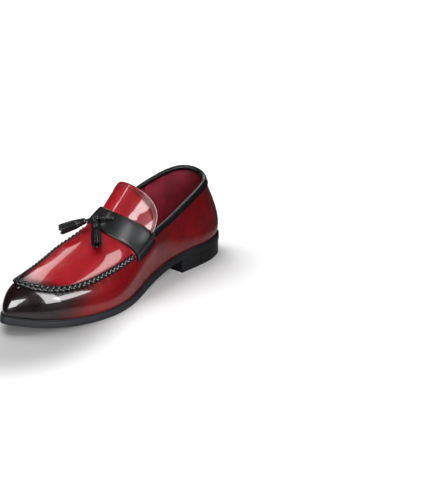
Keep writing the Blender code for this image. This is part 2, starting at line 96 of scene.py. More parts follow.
# Curve of the side wall: way, lower handle out and up, upper handle out and down
wallTable = (
    (0, 0.023, 0.31, 0.122, 0.13), (0.04, 0.022, 0.32, 0.118, 0.14),
    (0.1, 0.023, 0.34, 0.093, 0.18), (0.18, 0.026, 0.36, 0.083, 0.22),
    (0.27, 0.031, 0.38, 0.083, 0.26), (0.36, 0.031, 0.38, 0.088, 0.28),
    (0.44, 0.031, 0.36, 0.073, 0.27), (0.5, 0.026, 0.34, 0.064, 0.25),
    (0.565, 0.021, 0.34, 0.056, 0.24), (0.655, 0.026, 0.34, 0.036, 0.3),
    (0.78, 0.047, 0.33, 0.042, 0.33), (0.87, 0.052, 0.33, 0.054, 0.32),
    (0.94, 0.06, 0.33, 0.062, 0.31), (1, 0.065, 0.33, 0.064, 0.3),
    (-0.94, 0.06, 0.33, 0.06, 0.31), (-0.87, 0.052, 0.33, 0.052, 0.32),
    (-0.78, 0.047, 0.33, 0.042, 0.33), (-0.655, 0.03, 0.32, 0.018, 0.3),
    (-0.565, 0.03, 0.32, 0.022, 0.24), (-0.5, 0.03, 0.33, 0.04, 0.25),
    (-0.44, 0.031, 0.35, 0.068, 0.27), (-0.36, 0.031, 0.37, 0.08, 0.28),
    (-0.27, 0.025, 0.36, 0.074, 0.28), (-0.18, 0.02, 0.34, 0.072, 0.27),
    (-0.1, 0.02, 0.32, 0.082, 0.25), (-0.04, 0.021, 0.3, 0.104, 0.18),
)

# Ridge of the apron and tongue: way to the notch, along, across, height, how far ribs run on
ridgeTable = (
    (0, 0.9217, -0.031, 0.4785, 0.3), (0.07, 0.91, -0.031, 0.486, 0.35),
    (0.177, 0.883, -0.031, 0.511, 0.5), (0.32, 0.825, -0.026, 0.564, 0.8),
    (0.478, 0.746, -0.024, 0.644, 1), (0.637, 0.662, -0.024, 0.72, 1.1),
    (0.78, 0.6, -0.028, 0.8, 1.2), (0.885, 0.553, -0.035, 0.91, 1.35),
    (1, 0.495, -0.045, 1.07, 1.5), (1.15, 0.45, -0.06, 1.18, 1.5),
    (1.3, 0.403, -0.075, 1.285, 1.5),
)
tongueSweep = (-0.153, 0.050, 0.415)


def spline(table, at, period=None):
    # the smooth curve through a table's rows by its first column; a period closes it
    rows = np.array(table, float)
    rows = rows[np.argsort(rows[:, 0])]
    if period:
        ahead, behind = rows[:3].copy(), rows[-3:].copy()
        ahead[:, 0] += period
        behind[:, 0] -= period
        rows = np.vstack([behind, rows, ahead])
    knots, values = rows[:, 0], rows[:, 1:]
    gaps = np.diff(knots)
    slope = np.diff(values, axis=0) / gaps[:, None]
    count = len(knots)
    system, right = np.eye(count), np.zeros_like(values)
    for i in range(1, count - 1):
        system[i, i - 1 : i + 2] = gaps[i - 1], 2 * (gaps[i - 1] + gaps[i]), gaps[i]
        right[i] = 6 * (slope[i] - slope[i - 1])
    bend = np.linalg.solve(system, right)
    at = np.asarray(at, float)
    i = np.clip(np.searchsorted(knots, at) - 1, 0, count - 2)
    width = gaps[i][..., None]
    left, past = (knots[i + 1] - at)[..., None], (at - knots[i])[..., None]
    curve = (bend[i] * left**3 + bend[i + 1] * past**3) / (6 * width)
    curve += (values[i] / width - bend[i] * width / 6) * left
    return curve + (values[i + 1] / width - bend[i + 1] * width / 6) * past


def bezier(points, at):
    at = np.asarray(at, float)[..., None]
    points = list(points)
    while len(points) > 1:
        points = [a + (b - a) * at for a, b in zip(points, points[1:])]
    return points[0]


def unit(vectors):
    return vectors / np.maximum(np.linalg.norm(vectors, axis=-1, keepdims=True), 1e-12)


def soleUnderside(along):
    rise = np.clip((shoe["archEnd"] - along) / (shoe["archEnd"] - shoe["archStart"]), 0, 1)
    arch = rise**3 * (rise * (6 * rise - 15) + 10)
    spring = (along - shoe["springStart"]) / (shoe["length"] - shoe["springStart"])
    return shoe["heelHeight"] * arch + shoe["toeSpring"] * np.clip(spring, 0, 1.1) ** 2


def soleTop(along):
    return soleUnderside(along) + shoe["soleThickness"]


def wrapped(way):
    return (np.asarray(way, float) + 1.0) % 2.0 - 1.0


def planScale():
    return np.array((shoe["length"], shoe["ballWidth"]))


def outwards(way):
    ahead = spline(outlineTable, wrapped(way + 0.004), 2.0)
    behind = spline(outlineTable, wrapped(way - 0.004), 2.0)
    run = (ahead - behind) * planScale()
    return unit(np.stack([run[..., 1], -run[..., 0]], -1))


def outline(way, inset=0.0):
    return spline(outlineTable, wrapped(way), 2.0) * planScale() - outwards(way) * inset


def lifted(along, across, height):
    return np.stack([along, across, soleTop(along) + height], -1)


def liftedShares(along, across, height):
    # the same from shares of the shoe's length, ball width and collar height
    return lifted(along * shoe["length"], across * shoe["ballWidth"], height * shoe["collarHeight"])


def rim(way):
    return liftedShares(*np.moveaxis(spline(rimTable, wrapped(way), 2.0), -1, 0))


def wallHandles(way):
    way = wrapped(way)
    plan = outline(way, shoe["welt"])
    foot = lifted(plan[..., 0], plan[..., 1], np.full(plan.shape[:-1], shoe["gap"]))
    top = rim(way)
    lowOut, lowUp, highOut, highDown = np.moveaxis(spline(wallTable, way, 2.0), -1, 0)
    rise = top[..., 2] - foot[..., 2]
    out = outwards(way) * shoe["ballWidth"]
    low = np.concatenate([out * lowOut[..., None], (lowUp * rise)[..., None]], -1)
    high = np.concatenate([out * highOut[..., None], -(highDown * rise)[..., None]], -1)
    return foot, foot + low, top + high, top


def wallPoint(way, up):
    return bezier(wallHandles(way), up)


def apronPoint(way, over):
    # way is 0 at the toe and 1 at the notch, over is 0 on the outer seam and 1 on the inner
    way = np.asarray(way, float)
    *shares, runOn = np.moveaxis(spline(ridgeTable, way), -1, 0)
    ridge = liftedShares(*shares)
    seam = np.minimum(way, 1.0) * shoe["notch"]
    sweep = (np.maximum(way - 1.0, 0.0) / (shoe["tongueEnd"] - 1.0)) ** 2
    sides = []
    for side in (1, -1):
        _, _, handle, top = wallHandles(side * seam)
        sizes = shoe["length"], side * shoe["ballWidth"], shoe["collarHeight"]
        swept = sweep[..., None] * (np.array(tongueSweep) * sizes)
        sides.append((top, top + (top - handle) * runOn[..., None] + swept))
    (top, turn), (farTop, farTurn) = sides
    middle = (16 * ridge - top - farTop - 4 * (turn + farTurn)) / 6
    return bezier((top, turn, middle, farTurn, farTop), over)


def skinPoint(path, way):
    # path is 0 to 1 up the outer wall, 1 to 2 over the apron and 2 to 3 down the inner wall
    path, way = np.broadcast_arrays(np.asarray(path, float), np.asarray(way, float))
    near = wallPoint(way, np.clip(path, 0, 1))
    over = apronPoint(way / shoe["notch"], np.clip(path - 1, 0, 1))
    far = wallPoint(-way, np.clip(3 - path, 0, 1))
    path = path[..., None]
    return np.where(path < 1, near, np.where(path > 2, far, over))


def placed(points):
    along, across, height = np.moveaxis(np.asarray(points, float), -1, 0)
    return np.stack([across - middle, shoe["length"] / 2 - along, height], -1)


everyEdge = outline(np.linspace(-1, 1, 401))[:, 1]
middle = (everyEdge.max() + everyEdge.min()) / 2


def normalOf(surface, first, second, nudge=0.004):
    one = surface(first + nudge, second) - surface(first - nudge, second)
    two = surface(first, second + nudge) - surface(first, second - nudge)
    return unit(np.cross(one, two))


def onSkin(path, way, lift):
    # places and outward normals over the upper, at a height over its leather
    path, way, lift = np.broadcast_arrays(*(np.asarray(v, float) for v in (path, way, lift)))
    spot = placed(skinPoint(path, way))
    normal = normalOf(lambda a, b: placed(skinPoint(a, b)), path, way)
    away = spot - placed(np.array([0.5 * shoe["length"], 0.0, 0.25 * shoe["collarHeight"]]))
    normal = np.where((normal * away).sum(-1, keepdims=True) < 0, -normal, normal)
    return spot + normal * lift[..., None], normal


rimWays = np.linspace(0, 1, 1201)


def runLengths(points):
    return np.concatenate([[0], np.cumsum(np.linalg.norm(np.diff(points, axis=0), axis=1))])


def rimArc(way):
    # length of the rim from the toe, positive on the outer side
    way = np.asarray(way, float)
    arcs = []
    for side in (1, -1):
        arcs.append(np.interp(np.abs(way), rimWays, runLengths(rim(side * rimWays))))
    return np.where(way >= 0, arcs[0], -arcs[1])


def addGrid(shape, across, along, place, maps=None):
    # a flat grid in the bmesh, bent by place(u, v), with UV maps worked out from u and v
    made = bmesh.ops.create_grid(shape, x_segments=across, y_segments=along, size=0.5)["verts"]
    u, v = np.array([vert.co[:2] for vert in made]).T + 0.5
    for vert, spot in zip(made, place(u, v)):
        vert.co = spot
    shape.verts.index_update()
    first = made[0].index
    for mapName, mapping in (maps or {}).items():
        layer = shape.loops.layers.uv.get(mapName) or shape.loops.layers.uv.new(mapName)
        values = np.stack(np.broadcast_arrays(*mapping(u, v)), -1)
        for face in {face for vert in made for face in vert.link_faces}:
            for loop in face.loops:
                loop[layer].uv = values[loop.vert.index - first]


def addTube(shape, path, normal, wide, high, around, closed=False):
    # a flattened tube along a path; wide and high are half sizes, and its ends close to a point
    path, normal = np.asarray(path, float), np.asarray(normal, float)
    count = len(path)
    if closed:
        run = unit(np.roll(path, -1, 0) - np.roll(path, 1, 0))
        run[-1] = run[0] = unit(path[1] - path[-2])
    else:
        run = unit(np.gradient(path, axis=0))
    side = unit(np.cross(run, normal))
    up = unit(np.cross(side, run))
    wide, high = (np.broadcast_to(np.asarray(size, float), count) for size in (wide, high))
    ends = np.ones(count)
    if not closed:
        ends[0] = ends[-1] = 0.0
    steps = runLengths(path)

    def place(u, v):
        i = np.rint(v * (count - 1)).astype(int)
        turn = 2 * np.pi * u
        out = (wide * ends)[i] * np.cos(turn), (high * ends)[i] * np.sin(turn)
        return path[i] + side[i] * out[0][:, None] + up[i] * out[1][:, None]

    def mapping(u, v):
        return u, steps[np.rint(v * (count - 1)).astype(int)]

    addGrid(shape, around, count - 1, place, {"length": mapping})


def newObject(name, data):
    made = bpy.data.objects.new(name, data)
    bpy.context.scene.collection.objects.link(made)
    return made


def newMesh(name, shape):
    mesh = bpy.data.meshes.new(name)
    shape.to_mesh(mesh)
    shape.free()
    return newObject(name, mesh)


def finishPiece(name, shape, finish, *nodes, outwardFrom=None):
    # welds the bmesh, turns its faces outwards and makes it a piece that rides on the shoe
    bmesh.ops.remove_doubles(shape, verts=shape.verts, dist=1e-6)
    bmesh.ops.dissolve_degenerate(shape, edges=shape.edges, dist=1e-7)
    if outwardFrom is None:
        bmesh.ops.recalc_face_normals(shape, faces=shape.faces)
    else:
        centre = Vector(outwardFrom)
        facing = sum(
            face.calc_area() * face.normal.dot((face.calc_center_median() - centre).normalized())
            for face in shape.faces
        )
        if facing < 0:
            bmesh.ops.reverse_faces(shape, faces=shape.faces)
    piece = newMesh(name, shape)
    piece.data.shade_smooth()
    piece.data.materials.append(finish.material)
    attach(piece, "root")
    if nodes:
        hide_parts(*nodes)
    return piece


def thicken(piece, label, thickness, innerFinish=None):
    # gives a sheet its thickness inwards, and another finish on its inner face where asked
    shell = piece.modifiers.new(label, "SOLIDIFY")
    shell.thickness = thickness
    shell.offset = -1
    if innerFinish:
        piece.data.materials.append(innerFinish.material)
        shell.material_offset = 1


def easeEdges(piece):
    eased = piece.modifiers.new("edges", "BEVEL")
    eased.width = sole["bevel"]
    eased.segments = 3
    eased.limit_method = "ANGLE"
    eased.angle_limit = sole["sharp"]


def screen(red, green, blue):
    # a colour as a screen shows it, 0 to 255, in linear light
    parts = [value / 255 for value in (red, green, blue)]
    return (*(p / 12.92 if p <= 0.04045 else ((p + 0.055) / 1.055) ** 2.4 for p in parts), 1.0)


class Wire:
    # one output of a finish's nodes, with the sums that shader maths needs
    def __init__(self, finish, socket):
        self.finish, self.socket = finish, socket

    def sum(self, operation, *values):
        return self.finish.node("Math", {"operation": operation}, dict(enumerate(values)))

    __add__ = __radd__ = lambda self, other: self.sum("ADD", self, other)
    __mul__ = __rmul__ = lambda self, other: self.sum("MULTIPLY", self, other)
    __sub__ = lambda self, other: self.sum("SUBTRACT", self, other)
    __rsub__ = lambda self, other: self.sum("SUBTRACT", other, self)
    __truediv__ = lambda self, other: self.sum("DIVIDE", self, other)

    def wave(self, period):
        return self.sum("SINE", self * (2 * math.pi / period))

    def hump(self, centre, spread):
        # 1 at the centre, falling off on both sides
        share = (self - centre) / spread
        return self.sum("EXPONENT", share * share * -1.0)

    def most(self, other):
        return self.sum("MAXIMUM", self, other)


class Finish:
    # a material whose steady values are set on its shader and whose varying ones are wired
    def __init__(self, name, slot="", **steady):
        self.slot, self.material = slot, bpy.data.materials.new(name)
        self.material.use_nodes = True
        self.tree = self.material.node_tree
        self.shader = self.tree.nodes["Principled BSDF"]
        for socket, value in steady.items():
            self.shader.inputs[socket.replace("_", " ")].default_value = value

    def node(self, kind, settings=None, inputs=None, output=0):
        made = self.tree.nodes.new("ShaderNode" + kind)
        for key, value in (settings or {}).items():
            setattr(made, key, value)
        for key, value in (inputs or {}).items():
            if isinstance(value, Wire):
                self.tree.links.new(value.socket, made.inputs[key])
            else:
                made.inputs[key].default_value = value
        return Wire(self, made.outputs[output])

    def place(self):
        # the object's own coordinates, and their three parts
        whole = self.node("TexCoord", output="Object")
        return (whole, *(self.node("SeparateXYZ", inputs={0: whole}, output=k) for k in range(3)))

    def along(self, mapName):
        whole = self.node("UVMap", {"uv_map": mapName})
        return [self.node("SeparateXYZ", inputs={0: whole}, output=k) for k in range(2)]

    def noise(self, where, size, detail=2.0, stretch=(1, 1, 1)):
        if stretch != (1, 1, 1):
            where = self.node("Mapping", inputs={"Vector": where, "Scale": stretch})
        inputs = {"Vector": where, "Scale": 1 / size, "Detail": detail}
        return self.node("TexNoise", inputs=inputs)

    def cells(self, where, size):
        inputs = {"Vector": where, "Scale": 1 / size}
        return self.node("TexVoronoi", {"feature": "F1"}, inputs)

    def step(self, value, low, high):
        inputs = {0: value, 1: low, 2: high}
        return self.node("MapRange", {"interpolation_type": "SMOOTHSTEP"}, inputs)

    def mix(self, factor, first, second):
        inputs = {0: factor, 6: first, 7: second}
        return self.node("Mix", {"data_type": "RGBA"}, inputs, output=2)

    def bump(self, height, distance, under=None, strength=1.0):
        inputs = {"Height": height, "Distance": distance, "Strength": strength}
        if under is not None:
            inputs["Normal"] = under
        return self.node("Bump", inputs=inputs)

    def wire(self, **sockets):
        for socket, value in sockets.items():
            self.tree.links.new(value.socket, self.shader.inputs[socket.replace("_", " ")])


# Camera, at the photograph's angle and distance; focal length and height in its pixels
photo = {"azimuth": 45.374, "elevation": 24.006, "distance": 1.2493, "yaw": -5.149, "pitch": -1.719}
photo |= {"focal": 1200, "height": 494}


def directionOf(azimuth, elevation):
    # from the shoe, in degrees: azimuth 0 in front of the toe and 90 on the outer side
    turn, rise = math.radians(azimuth), math.radians(elevation)
    flat = math.cos(rise)
    return Vector((math.sin(turn) * flat, -math.cos(turn) * flat, math.sin(rise)))


def placeCamera():
    spot = directionOf(photo["azimuth"], photo["elevation"]) * photo["distance"]
    spot = spot + Vector((-middle, 0, 0))
    heading = photo["azimuth"] + photo["yaw"]
    back = directionOf(heading, photo["elevation"] + photo["pitch"])
    right = Vector((math.cos(math.radians(heading)), math.sin(math.radians(heading)), 0))
    lens = bpy.data.cameras.new("photoCamera")
    lens.sensor_width = 36
    lens.lens = photo["focal"] / photo["height"] * lens.sensor_width
    lens.clip_start = 0.01
    camera = newObject("photoCamera", lens)
    turn = Matrix((right, back.cross(right), back)).transposed().to_4x4()
    camera.matrix_world = Matrix.Translation(spot) @ turn
    bpy.context.scene.camera = camera


placeCamera()
print("camera in place")


# Finishes. A pair is where something begins and where it is full, in metres or as a share
red = {
    "bright": screen(168, 12, 27), "deep": screen(146, 8, 20),
    "oxblood": screen(98, 5, 13), "burnt": screen(26, 7, 9),
    "patch": 0.030,  # size of the hand-rubbed clouds
    "streak": 0.010, "rub": (0.30, 0.70),
    "wander": 0.016,  # how far the clouds push the burnish about
    "apronToe": (-0.070, -0.124),  # the toe's burnish along y, on the apron and on the walls
    "wallToe": (-0.074, -0.144),
    "toeLean": 0.80,  # it reaches further back under the braid than by the sole
    "heel": (0.098, 0.150), "heelLean": 0.25,
    "apronRim": (0.010, 0.0),  # the apron is darker by the braid, towards the toe: partly burnish, partly painted shade beside the raised braid
    "apronFront": (0.01, -0.08),
    "quarter": (-0.075, 0.035),  # the walls are darker towards the heel: partly a deeper red, partly painted shade on the side walls
    # the leather darkens within this reach of the braid: partly burnish, partly painted shade under
    # the braid
    "seamEdge": (0.0050, 0.0012),
    "toOxblood": (0.0, 0.55),  # the burnish turns the red to oxblood and then to burnt
    "toBurnt": (0.22, 0.92), "swell": 0.016, "pores": 0.0016, "grain": 0.0007,
    "pitch": 0.0056,  # one crossing of the braid
    "pucker": (0.0075, 0.0018),  # the leather puckers by the braid, up to the strap
    "puckerEnd": (0.01, -0.01),
    "rimRoll": (0.0090, 0.0055),  # the tongue's rim rolls down at its outer side, where it is painted darker as shade
    "rollSide": (0.46, 0.34),
    "dullSeam": (0.0062, 0.0036),  # less gloss in the crease by the braid and on the toe's tip
    "dullToe": (-0.098, -0.114),
}
redRelief = {"swell": 0.0009, "pucker": 0.00016, "roll": 0.0006, "grain": 0.00003}


def redLeather(name, apron):
    hide = Finish(name, "red_leather", Coat_Weight=1.0, Coat_Roughness=0.04,
                  Coat_IOR=1.55, Specular_IOR_Level=0.2)
    where, _, y, z = hide.place()
    arc, off = hide.along("seamMap")
    clouds = hide.noise(where, red["patch"], 3.0)
    streaks = hide.noise(where, red["streak"], 2.0, (1, 0.35, 1))
    rub = hide.step(clouds * 0.7 + streaks * 0.3, *red["rub"])
    colour = hide.mix(rub, red["bright"], red["deep"])
    wander = (clouds - 0.5) * red["wander"]
    if apron:
        dark = hide.step(y + wander * 0.6 + off * 1.1, *red["apronToe"])
        # partly painted shade: the apron darkens beside the braid, towards the toe
        quarter = hide.step(off, *red["apronRim"]) * hide.step(y, *red["apronFront"]) * 0.7
    else:
        toe = hide.step(y + wander - z * red["toeLean"], *red["wallToe"])
        heel = hide.step(y + wander * 0.8 - z * red["heelLean"], *red["heel"])
        dark = toe.most(heel)
        # partly painted shade: the walls darken towards the heel
        quarter = hide.step(y, *red["quarter"]) * 0.85
    colour = hide.mix(quarter, colour, hide.mix(rub, red["deep"], red["oxblood"]))
    # partly painted shade: darker along the braid seam, on walls and apron
    colour = hide.mix(hide.step(off, *red["seamEdge"]) * 0.55, colour, red["oxblood"])
    colour = hide.mix(hide.step(dark, *red["toOxblood"]) * 0.8, colour, red["oxblood"])
    colour = hide.mix(hide.step(dark, *red["toBurnt"]), colour, red["burnt"])
    tight = hide.step(off, *red["pucker"]) * hide.step(y, *red["puckerEnd"])
    grain = hide.cells(where, red["grain"])
    normal = hide.bump(hide.noise(where, red["swell"], 1.0), redRelief["swell"])
    normal = hide.bump(arc.wave(red["pitch"]) * tight, redRelief["pucker"], normal)
    gloss = 1 - hide.step(off, *red["dullSeam"]) * 0.88
    if apron:
        over, fromRim = hide.along("edgeMap")
        rolledShaded = hide.step(fromRim, *red["rimRoll"]) * hide.step(over, *red["rollSide"])
        normal = hide.bump(rolledShaded * -1.0, redRelief["roll"], normal)
        # painted shade: the rolled-down rim is darkened towards oxblood
        colour = hide.mix(rolledShaded * 0.8, colour, red["oxblood"])
        toeShade = hide.step(y + wander * 0.5 + off * 0.3, *red["dullToe"])
        gloss = gloss * (1 - rolledShaded * 0.9) * (1 - toeShade * 0.85)
    pores = hide.noise(where, red["pores"], 2.0)
    normal = hide.bump(grain * 0.6 + pores, redRelief["grain"], normal)
    rough = 0.22 + streaks * 0.10 + grain * 0.05
    hide.wire(Base_Color=colour, Roughness=rough, Coat_Weight=gloss, Normal=normal)
    return hide


black = {
    "dark": screen(13, 14, 16), "worn": screen(27, 30, 32), "patch": 0.012, "patches": (0.35, 0.7),
    "poreSize": 2.2,  # pores against grain
    "patchRelief": 0.0006, "grainRelief": 0.00006,
}


def blackLeather(name, shine, grain, coat, blur=0.20, glossFrom=None):
    # glossFrom is the pair of heights between which the polish begins
    hide = Finish(name, "black_leather", Coat_Weight=coat, Coat_Roughness=blur,
                  Specular_IOR_Level=0.15)
    where, _, _, z = hide.place()
    if glossFrom:
        hide.wire(Coat_Weight=hide.step(z, *glossFrom) * coat)
    clouds = hide.noise(where, black["patch"], 3.0)
    pebble = hide.cells(where, grain)
    pores = hide.noise(where, grain * black["poreSize"], 3.0)
    worn = hide.step(clouds, *black["patches"]) * 0.6
    colour = hide.mix(worn, black["dark"], black["worn"])
    normal = hide.bump(clouds, black["patchRelief"], strength=0.7)
    normal = hide.bump(pebble * 0.7 + pores, black["grainRelief"], normal)
    hide.wire(Base_Color=colour, Roughness=shine + clouds * 0.12 + pebble * 0.05, Normal=normal)
    return hide


lining = {
    "pale": screen(172, 44, 68), "deep": screen(132, 26, 46),
    "seam": screen(30, 6, 11), "patch": 0.022, "patches": (0.3, 0.7), "fibre": 0.0009,
    "seamWay": 0.735,  # the way round to the seam on each side
    "seamSpread": 0.0034,
    "slant": 0.13,  # the cut that runs off from the inner side's seam
    "slantSpread": 0.0022, "slantFrom": (0.45, 0.5), "seamRelief": 0.0009, "relief": 0.00012,
}


def liningLeather(name):
    hide = Finish(name, "lining_leather", Specular_IOR_Level=0.35)
    where, *_ = hide.place()
    way, up = hide.along("wayMap")
    clouds = hide.noise(where, lining["patch"], 3.0)
    fibres = hide.noise(where, lining["fibre"], 3.0)
    colour = hide.mix(hide.step(clouds, *lining["patches"]), lining["pale"], lining["deep"])
    inner, outer = way + lining["seamWay"], way - lining["seamWay"]
    seams = (inner + (up - 0.6) * 0.02).hump(0.0, lining["seamSpread"])
    seams = seams.most(outer.hump(0.0, lining["seamSpread"]))
    slant = (inner + (1 - up) * lining["slant"] - 0.02).hump(0.0, lining["slantSpread"])
    seams = seams.most(slant * hide.step(up, *lining["slantFrom"]) * 0.6)
    colour = hide.mix(seams, colour, lining["seam"])
    normal = hide.bump(seams * -1.0, lining["seamRelief"])
    normal = hide.bump(fibres + clouds * 2.0, lining["relief"], normal)
    hide.wire(Base_Color=colour, Roughness=0.48 + fibres * 0.2, Normal=normal)
    return hide


rubber = {
    "dusty": screen(56, 60, 66),
    "lines": 0.0011,  # fine ripples that run round the sole
    "patch": 0.02, "patches": (0.45, 0.75), "scuff": 0.0022, "litFrontToShadedBack": (-0.09, 0.08),
    "lineRelief": 0.00010, "scuffRelief": 0.00004,
}


def soleRubber(name, front, back):
    made = Finish(name, "black_sole", Specular_IOR_Level=0.22)
    where, _, y, _ = made.place()
    lines = made.noise(where, rubber["lines"], 2.0, (0.06, 0.06, 1.0))
    clouds = made.noise(where, rubber["patch"], 3.0)
    scuffs = made.noise(where, rubber["scuff"], 3.0)
    dust = made.step(clouds, *rubber["patches"]) * 0.25
    # painted light and shade: paler at the lit front, darker towards the heel
    colour = made.mix(made.step(y, *rubber["litFrontToShadedBack"]), front, back)
    colour = made.mix(dust, colour, rubber["dusty"])
    normal = made.bump(lines, rubber["lineRelief"], strength=0.8)
    normal = made.bump(scuffs, rubber["scuffRelief"], normal)
    made.wire(Base_Color=colour, Roughness=0.42 + clouds * 0.16, Normal=normal)
    return made


yarn = {"shadow": screen(20, 8, 10), "turn": 0.0011, "lay": 0.0007, "relief": 0.00006}


def thread(name, slot, colour):
    # twisted yarn: its stripes wind round the stitch as they run on
    made = Finish(name, slot, Sheen_Weight=0.3)
    twist, run = made.along("length")
    lay = (twist * yarn["turn"] + run).wave(yarn["lay"])
    made.wire(
        Base_Color=made.mix(lay * 0.25 + 0.5, colour, yarn["shadow"]),
        Roughness=0.55 + lay * 0.05,
        Normal=made.bump(lay, yarn["relief"]),
    )
    return made


turned = {"bright": screen(150, 14, 28), "deep": screen(96, 8, 16)}
turned |= {"patch": 0.004, "relief": 0.0002}


def turnedLeather(name):
    hide = Finish(name, "red_leather", Coat_Weight=1.0, Coat_Roughness=0.06)
    where, *_ = hide.place()
    clouds = hide.noise(where, turned["patch"], 2.0)
    hide.wire(
        Base_Color=hide.mix(clouds, turned["bright"], turned["deep"]),
        Roughness=0.25 + clouds * 0.1,
        Normal=hide.bump(clouds, turned["relief"]),
    )
    return hide


wallLeather = redLeather("wallLeather", apron=False)
apronLeather = redLeather("apronLeather", apron=True)
tongueEdgeLeather = turnedLeather("turnedEdge")
strapLeather = blackLeather("strapLeather", 0.40, 0.0012, 0.9, 0.24, (0.053, 0.063))
braidLeather = blackLeather("braidLeather", 0.22, 0.0009, 0.8, blur=0.10)
bindingLeather = blackLeather("bindingLeather", 0.26, 0.0009, 0.35)
tasselLeather = blackLeather("tasselLeather", 0.20, 0.0010, 0.5)
wineLining = liningLeather("wineLining")
# the sole edge's colours run from a painted lit front to a painted shaded back
soleEdge = soleRubber("soleEdge", screen(46, 49, 54), screen(24, 25, 27))
# painted shade: a darker copy of the sole rubber for the heel block and the groove's shadow
shadedRubber = soleRubber("shadedRubber", screen(20, 21, 22), screen(16, 17, 18))
redThread = thread("redThread", "red_leather", screen(120, 14, 26))
blackThread = thread("blackThread", "black_leather", screen(58, 60, 62))
print("finishes ready")


# Side walls, from the sole up to the apron seam and the collar
walls = {"around": 336, "up": 36}


def makeWalls():
    shape = bmesh.new()

    def place(u, v):
        return placed(wallPoint(2 * u - 1, v))

    def seamMap(u, v):
        way = 2 * u - 1
        off = np.linalg.norm(wallPoint(way, v) - rim(way), axis=-1)
        return rimArc(way), off

    maps = {"wayMap": lambda u, v: (2 * u - 1, v), "seamMap": seamMap}
    addGrid(shape, walls["around"], walls["up"], place, maps)
    piece = finishPiece("upperWalls", shape, wallLeather, "upper", outwardFrom=(0, 0, 0.03))
    thicken(piece, "leatherAndLining", shoe["wall"], wineLining)


# Apron and tongue in one skin
apron = {"ribs": 168, "over": 72}


def makeApron():
    shape = bmesh.new()

    def place(u, v):
        return placed(apronPoint(v * shoe["tongueEnd"], u))

    def seamMap(u, v):
        way = np.minimum(v * shoe["tongueEnd"], 1.0) * shoe["notch"]
        side = np.where(u < 0.5, 1, -1)
        off = np.linalg.norm(apronPoint(v * shoe["tongueEnd"], u) - rim(side * way), axis=-1)
        return rimArc(side * way), off

    def edgeMap(u, v):
        spot = apronPoint(v * shoe["tongueEnd"], u)
        edge = apronPoint(np.full_like(v, shoe["tongueEnd"]), u)
        return u, np.linalg.norm(spot - edge, axis=-1)

    maps = {"wayMap": lambda u, v: (u, v), "seamMap": seamMap, "edgeMap": edgeMap}
    addGrid(shape, apron["over"], apron["ribs"], place, maps)
    piece = finishPiece("apronAndTongue", shape, apronLeather, "upper", outwardFrom=(0, 0, 0))
    thicken(piece, "leatherAndLining", shoe["wall"], wineLining)


# The tongue's turned edge and its row of stitches
tongue = {
    "edgeRadius": 0.00115, "stitchBack": 0.026, "stitches": 46, "stitchHalf": 0.0009,
    "stitchSpan": (0.06, 0.94), "width": 0.105, "thread": 0.00032,
}


def makeTongueTrim():
    over = np.linspace(0.0, 1.0, 121)
    edge, normal = onSkin(1 + over, shoe["tongueEnd"] * shoe["notch"] - 1e-4, 0.0)
    radius = tongue["edgeRadius"]
    shape = bmesh.new()
    addTube(shape, edge - normal * shoe["wall"] / 2, normal, radius, radius, 14)
    finishPiece("tongueEdge", shape, tongueEdgeLeather)
    shape = bmesh.new()
    for over in np.linspace(*tongue["stitchSpan"], tongue["stitches"]):
        share = np.linspace(-1, 1, 7)
        step = tongue["stitchHalf"] / tongue["width"] * share
        way = (shoe["tongueEnd"] - tongue["stitchBack"]) * shoe["notch"]
        lift = tongue["thread"] * (0.9 - 1.5 * np.abs(share) ** 3)  # its ends go into the leather
        path, normal = onSkin(1 + over + step, way, lift)
        addTube(shape, path, normal, tongue["thread"], tongue["thread"], 8)
    finishPiece("tongueStitches", shape, redThread)


makeWalls()
makeApron()
makeTongueTrim()
print("upper shaped")


# Braid over the apron seam: three flat strands plaited over a low core
braid = {
    "reach": 0.470, "pitch": 0.0168, "swing": 0.0020, "weave": 0.00080, "strandWide": 0.00145,
    "strandHigh": 0.00100, "lift": 0.0014, "coreWide": 0.0030, "coreHigh": 0.0011, "steps": 28,
}


def seamFrame(ways):
    _, _, handle, top = wallHandles(ways)
    run = unit(placed(rim(ways + 0.002)) - placed(rim(ways - 0.002)))
    normal = unit(np.cross(run, placed(top) - placed(handle)))
    normal *= np.sign(normal[:, 2:])
    return placed(top), normal, np.cross(normal, run)


def makeBraid():
    fine = np.linspace(-braid["reach"], braid["reach"], 4001)
    arc = rimArc(fine)
    count = int((arc[-1] - arc[0]) / braid["pitch"] * braid["steps"])
    lengths = np.linspace(arc[0], arc[-1], count)
    top, normal, across = seamFrame(np.interp(lengths, arc, fine))
    shape = bmesh.new()
    addTube(shape, top + normal * shoe["gap"], normal, braid["coreWide"], braid["coreHigh"], 12)
    for strand in range(3):
        phase = 2 * np.pi * (lengths / braid["pitch"] + strand / 3)
        side = braid["swing"] * np.sin(phase)
        high = braid["lift"] + braid["weave"] * np.sin(2 * phase)
        path = top + across * side[:, None] + normal * high[:, None]
        addTube(shape, path, normal, braid["strandWide"], braid["strandHigh"], 10)
    finishPiece("apronBraid", shape, braidLeather, "apron_braid")


makeBraid()
print("braid laid")


# Saddle strap over the instep, its ends folded under and stitched down
strap = {
    "front": 0.865, "rear": 0.992, "flare": 0.024, "drop": 0.23, "thick": 0.0025,
    "lift": 0.0002, "crown": 0.16, "foldLength": 0.0075, "foldRise": 0.0006,
    "foldSharp": 0.0003,
    "groove": 0.0004,  # how deep it is, and how far from the fold
    "grooveWide": 0.0006, "endRound": 0.0012, "around": 56, "along": 220, "stitches": 8,
    "stitchSpan": (0.09, 0.91), "stitchHalf": 0.040,
    "stitchIn": 0.0017,  # from the fold's edge
    "thread": 0.00034,
}


def strapWay(path, share):
    bend = strap["flare"] * (np.abs(path - 1.5) / (0.5 + strap["drop"])) ** 2
    front = strap["front"] - bend
    return shoe["notch"] * (front + (strap["rear"] - front) * share)


